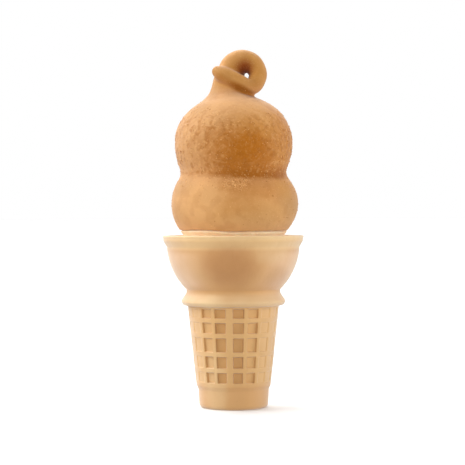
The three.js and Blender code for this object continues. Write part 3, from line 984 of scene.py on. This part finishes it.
def cream_material():
    material, shader, place = new_material(
        "soft_serve", Sheen_Weight=0.3, Specular_IOR_Level=0.4, Subsurface_Weight=0.25,
        Subsurface_Scale=0.002, Subsurface_Radius=(1.0, 0.7, 0.4),
    )
    tone = toned(CREAM_TONE, place, CREAM_CLOUD)
    melt = noise_value(place, CREAM_MELT)
    return finished(material, shader, tone, CREAM_SURFACE, melt, melt)


SHELL_TONES = [  # height and colour
    (85, 0.71, 0.42, 0.18),
    (91, 0.67, 0.36, 0.13),
    (95, 0.66, 0.335, 0.11),
    (104, 0.64, 0.315, 0.105),
    (112, 0.62, 0.315, 0.12),
    (138, 0.61, 0.315, 0.12),
    (146, 0.65, 0.335, 0.12),
    (152, 0.62, 0.315, 0.12),
    (156, 0.54, 0.262, 0.075),
    (160, 0.51, 0.243, 0.065),
    (171, 0.57, 0.29, 0.095),
]
DARK_TONE = (0.35, 0.108, 0.004, 1)
# Painted light on the lower lobe's upper left and on the curl's top.
PAINTED_LIGHT = Patches((0.76, 0.42, 0.175, 1), (1.2, 0.5), [
    ((-17, -25, 100.5), (14, 18, 10.5), 0.55),
    ((-1, -2, 169), (8, 9, 5), 0.75),
])
TOASTED_AND_SHADED = Patches((0.43, 0.135, 0.004, 1), (1.5, 0.45), [  # on the upper lobe: browner toasted colour all round, and painted shade on its front and its right side
    ((7.5, -28, 124), (13, 14, 10.5), 1),
    ((6.5, -25.5, 121), (19, 24, 15.5), 0.92),
    ((24, -12, 124), (12, 20, 19), 0.7),
    ((-12, -25, 121), (12, 14, 9), 0.15),
    ((-22, 20, 123), (18, 20, 15), 0.55),
    ((20, 22, 124), (18, 18, 13), 0.75),
])
CORE = TOASTED_AND_SHADED._replace(places=TOASTED_AND_SHADED.places[:1])
STAINED = Patches(TOASTED_AND_SHADED.tone, (1.4, 0.4), [  # on the lower lobe
    ((13, -27, 106.5), (17, 18, 6.5), 0.35),
    ((3, -31, 98), (12, 12, 6), 0.2),
    ((-12, 28, 105), (18, 14, 7), 0.3),
])
SHADED = Patches((0.46, 0.235, 0.075, 1), (1.4, 0.3), [  # a little darker, and less red
    ((-10.5, -4, 152.5), (5, 9, 6), 0.6),
    ((-25, -13, 106.5), (10, 16, 6), 0.7),
    ((27, -10, 100), (10, 16, 12), 0.7),
    ((-18, -17, 144.5), (9, 14, 6.5), 0.4),
    ((15, -26, 92), (12, 16, 7), 0.3),
    ((-17, -26, 103), (12, 14, 5), 0.15),
    ((-27, -10, 98), (8, 14, 12), 0.3),
])
ORANGE = Patches((0.60, 0.255, 0.03, 1), (1.4, 0.3), [
    ((16, -23, 137), (16, 18, 9), 0.4),
    ((25, -12, 126), (10, 18, 14), 0.35),
    ((26, -10, 109), (10, 16, 9), 0.45),
    ((5, -3, 164.5), (11, 9, 9), 0.45),
])
CREASE_SHADE = Patches(DARK_TONE, (1.4, 0.3), [  # painted shade in the crease between the lobes
    ((9, -26, 112.3), (22, 22, 2.5), 1),
    ((21, -17, 112.5), (12, 15, 2.8), 1),
    ((-12, -22, 113), (12, 12, 1.6), 0.3),
    ((0, 26, 112.8), (26, 14, 1.8), 0.7),
])
CRUMBLED = Patches(DARK_TONE, (1.6, 0.2), [(*CLUMP, 1)])  # where the crumbs stand out: bolder sugar grains, with painted shade between them
CURL_SHADE = Patches((0.40, 0.165, 0.03, 1), (1.3, 0.3), [  # painted shade above its hole and low on its right
    ((2, -4, 167), (8.5, 8, 5.5), 0.5),
    ((9.5, -4, 155.6), (5.5, 8, 4), 0.55),
])
SHADE_UNDER_TAIL = Patches((0.29, 0.09, 0.001, 1), (1.4, 0.4), [  # painted shadow under the tail; its heights are taken along the tail
    ((4.5, -6.5, 155.5), (8.5, 6, 2.6), 0.95),
    ((-3, -6.5, 155.8), (7, 6, 2.6), 0.4),
])
TAIL_SLOPE = 0.515
HOLLOW_SHADE = Patches((0.215, 0.038, 0, 1), (1.15, 0.3), [  # painted shade on the loop's inner side
    ((6, -1.5, 164), (6.5, 7, 6), 0.95),
])
CREASE_LINE = (111.4, 113.4)  # the browner tone ends in the crease between the lobes
MOTTLED_TOP = (148, 134)  # and its mottles fade between these heights
DARK_MOTTLES = Mottles(DARK_TONE, (2.8, 2, 0.55), (0.50, 0.66), 0.5)
LIGHT_MOTTLES = Mottles((0.70, 0.37, 0.13, 1), (1.8, 1), (0.52, 0.70), 0.4)
LIGHT_IN_CORE = (0.1, 1, 1, 0.3)  # their strength falls from 1 to 0.3 of itself in the core
CALM_MOTTLES = Mottles(DARK_TONE, (5, 1), (0.45, 0.65), 0.14)
# Painted shade between the crumbs in the clump.
SHADE_BETWEEN_CRUMBS = Mottles(DARK_TONE, (1.5, 1), (0.48, 0.62), 0.45)
SHELL_SPECKS = Mottles((0.85, 0.52, 0.22, 1), (0.7, 2, 0.6), (0.55, 0.75), 0.15)
SHELL_CRUST = (1.5, 3, 0.65)
GRAINS_DIFFER = Facts(size=1.5, range=(0.35, 0.65), bolder=0.1)  # bolder is for the clump's


def shell_tone(place):
    """The coating's colour: tan, with browner patches and mottling round the upper lobe, and
    painted light and shade over it.
    """
    height = axes_of(place)["Z"]
    moved = wavering(wavering(place, *WAVERS.wide), *WAVERS.narrow)
    unsteady = wavering(place, *WAVERS.crease)
    above = remap(axes_of(unsteady)["Z"], *CREASE_LINE)
    belly = times(above, remap(height, *MOTTLED_TOP))
    tone = toned(ramp(height, SHELL_TONES), moved, PAINTED_LIGHT)
    tone = toned(tone, moved, TOASTED_AND_SHADED, above)
    for where, facts in ((moved, STAINED), (place, SHADED), (moved, ORANGE), (unsteady, CREASE_SHADE)):
        tone = toned(tone, where, facts)
    tone = toned(tone, place, DARK_MOTTLES, belly)
    outside_core = remap(strength_of(moved, CORE), *LIGHT_IN_CORE)
    tone = toned(tone, place, LIGHT_MOTTLES, times(outside_core, belly))
    tone = toned(tone, place, CALM_MOTTLES)
    tone = toned(tone, place, SHADE_BETWEEN_CRUMBS, strength_of(place, CRUMBLED))
    tone = toned(tone, unsteady, CURL_SHADE)
    tone = toned(tone, leaned(place, TAIL_SLOPE), SHADE_UNDER_TAIL)
    return toned(tone, place, HOLLOW_SHADE)


def shell_material():
    material, shader, place = new_material(
        "cinnamon_shell", Sheen_Weight=0.22, Specular_IOR_Level=0.15
    )
    tone = toned(shell_tone(place), place, SHELL_SPECKS)
    grain = noise_value(place, *SHELL_SPECKS.noise)
    crust = noise_value(place, *SHELL_CRUST)
    return finished(material, shader, tone, SHELL_SURFACE, grain, calc("ADD", grain, crust))


def grain_material(facts):
    """The coating's colour, with its painted light and shade, turned towards another by more in
    some grains than in others.
    """
    material, shader, place = new_material(
        facts.material, Roughness=facts.roughness, Sheen_Weight=0.1, Specular_IOR_Level=0.2
    )
    differs = remap(noise_value(place, GRAINS_DIFFER.size), *GRAINS_DIFFER.range, *facts.share)
    most = facts.share[1] + GRAINS_DIFFER.bolder
    bold = strength_of(place, CRUMBLED._replace(places=[(*CLUMP, most)]))
    tone = mixed(calc("MAXIMUM", differs, bold), shell_tone(place), facts.tone)
    link(tone, shader.inputs["Base Color"])
    return material


def floor_material():
    material, shader, place = new_material("floor", Roughness=0.9)
    tones = [(shade, shade, shade, 1) for shade in GROUND.shades]
    tone = mixed(noise_value(place, GROUND.cloud), *tones)
    link(tone, shader.inputs["Base Color"])
    return material


# ---- Camera, light and floor ----

CAMERA = Facts(
    distance=755, height=91.6, x=-0.3, lens=120.5, tilt=0.534, roll=0.21,
    clip_start=0.01,  # in metres
)
SOFTBOX = Facts(distance=680, raised=12, size=(400, 600), aim=90)
SOFTBOXES = [  # name, degrees to the right of the front, and power in watts
    ("left_softbox", -90, 1.32),
    ("front_softbox", 0, 2.8),
    ("right_softbox", 87, 3.25),
]
TOP_LIGHT_SPREAD = 70
TOP_LIGHTS = [("top_left_light", (-1, 0.2, 1), 3), ("top_back_light", (0, 1, 1), 2.9)]
FLOOR_GLOW = 0.67  # the light that the pale floor throws up
BELOW_LEVEL = (0, -0.02)  # how steeply down a way leads, from no to full glow
GROUND = Facts(reach=60000, shades=(0.9, 0.882), cloud=90)  # cloud is the size of its mottles


def camera():
    data = bpy.data.cameras.new("camera")
    data.lens = CAMERA.lens
    data.clip_start = CAMERA.clip_start
    made = new_object("camera", data)
    made.location = Vector((CAMERA.x, -CAMERA.distance, CAMERA.height)) * MM
    level = math.radians(90 - CAMERA.tilt)
    made.rotation_euler = Euler((level, math.radians(CAMERA.roll), 0))
    bpy.context.scene.camera = made


def add_light(kind, name, energy, place, towards):
    data = bpy.data.lights.new(name, kind)
    data.energy = energy
    made = new_object(name, data)
    made.location = Vector(place) * MM
    made.rotation_euler = (Vector(towards) - Vector(place)).to_track_quat("-Z", "Y").to_euler()
    made.visible_camera = False
    return data


def lights():
    aim = Vector((0, 0, SOFTBOX.aim))
    raised = math.radians(SOFTBOX.raised)
    for name, around, power in SOFTBOXES:
        turn = math.radians(around)
        level = math.cos(raised)
        away = Vector((math.sin(turn) * level, -math.cos(turn) * level, math.sin(raised)))
        data = add_light("AREA", name, power, aim + away * SOFTBOX.distance, aim)
        data.shape = "RECTANGLE"
        data.size, data.size_y = (side * MM for side in SOFTBOX.size)
    for name, place, strength in TOP_LIGHTS:
        data = add_light("SUN", name, strength, place, (0, 0, 0))
        data.angle = math.radians(TOP_LIGHT_SPREAD)


def world():
    """White where the camera sees it, and otherwise light from below alone, as off a pale floor."""
    made = bpy.data.worlds.new("studio")
    bpy.context.scene.world = made
    made.use_nodes = True
    tree = made.node_tree
    backdrop = tree.nodes["Background"]
    backdrop.inputs["Color"].default_value = (1, 1, 1, 1)
    way = node("TexCoord", tree=tree).outputs["Generated"]
    glow = remap(axes_of(way)["Z"], *BELOW_LEVEL, 0.0, FLOOR_GLOW)
    fill = node("Background", {"Color": (1, 1, 1, 1), "Strength": glow})
    seen = node("LightPath", tree=tree).outputs["Is Camera Ray"]
    both = node("MixShader", {0: seen, 1: fill.outputs[0], 2: backdrop.outputs[0]})
    link(both.outputs[0], tree.nodes["World Output"].inputs["Surface"])


def floor():
    reach = GROUND.reach
    corners = [(-reach, -reach, 0), (reach, -reach, 0), (reach, reach, 0), (-reach, reach, 0)]
    made = mesh_object("floor", corners, [(0, 1, 2, 3)], floor_material())
    made.visible_diffuse = False


# ---- The object ----

random = np.random.default_rng(SEED)
camera()
world()
lights()
floor()

cup = wafer_cup(wafer_material())
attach(cup, "root")
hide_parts("cake_cone")

cream = ice_cream(cream_material())
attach(cream, "root")
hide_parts("soft_serve")

shell, surface = cinnamon_shell(shell_material())
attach(shell, "root")
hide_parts("cinnamon_coating")

sugar = scattered("sugar_grains", *surface, random)
flecks = scattered("cinnamon_flecks", *surface, random)
for grains in (sugar, flecks):
    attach(grains, "root")

bpy.context.scene.view_settings.view_transform = "Standard"
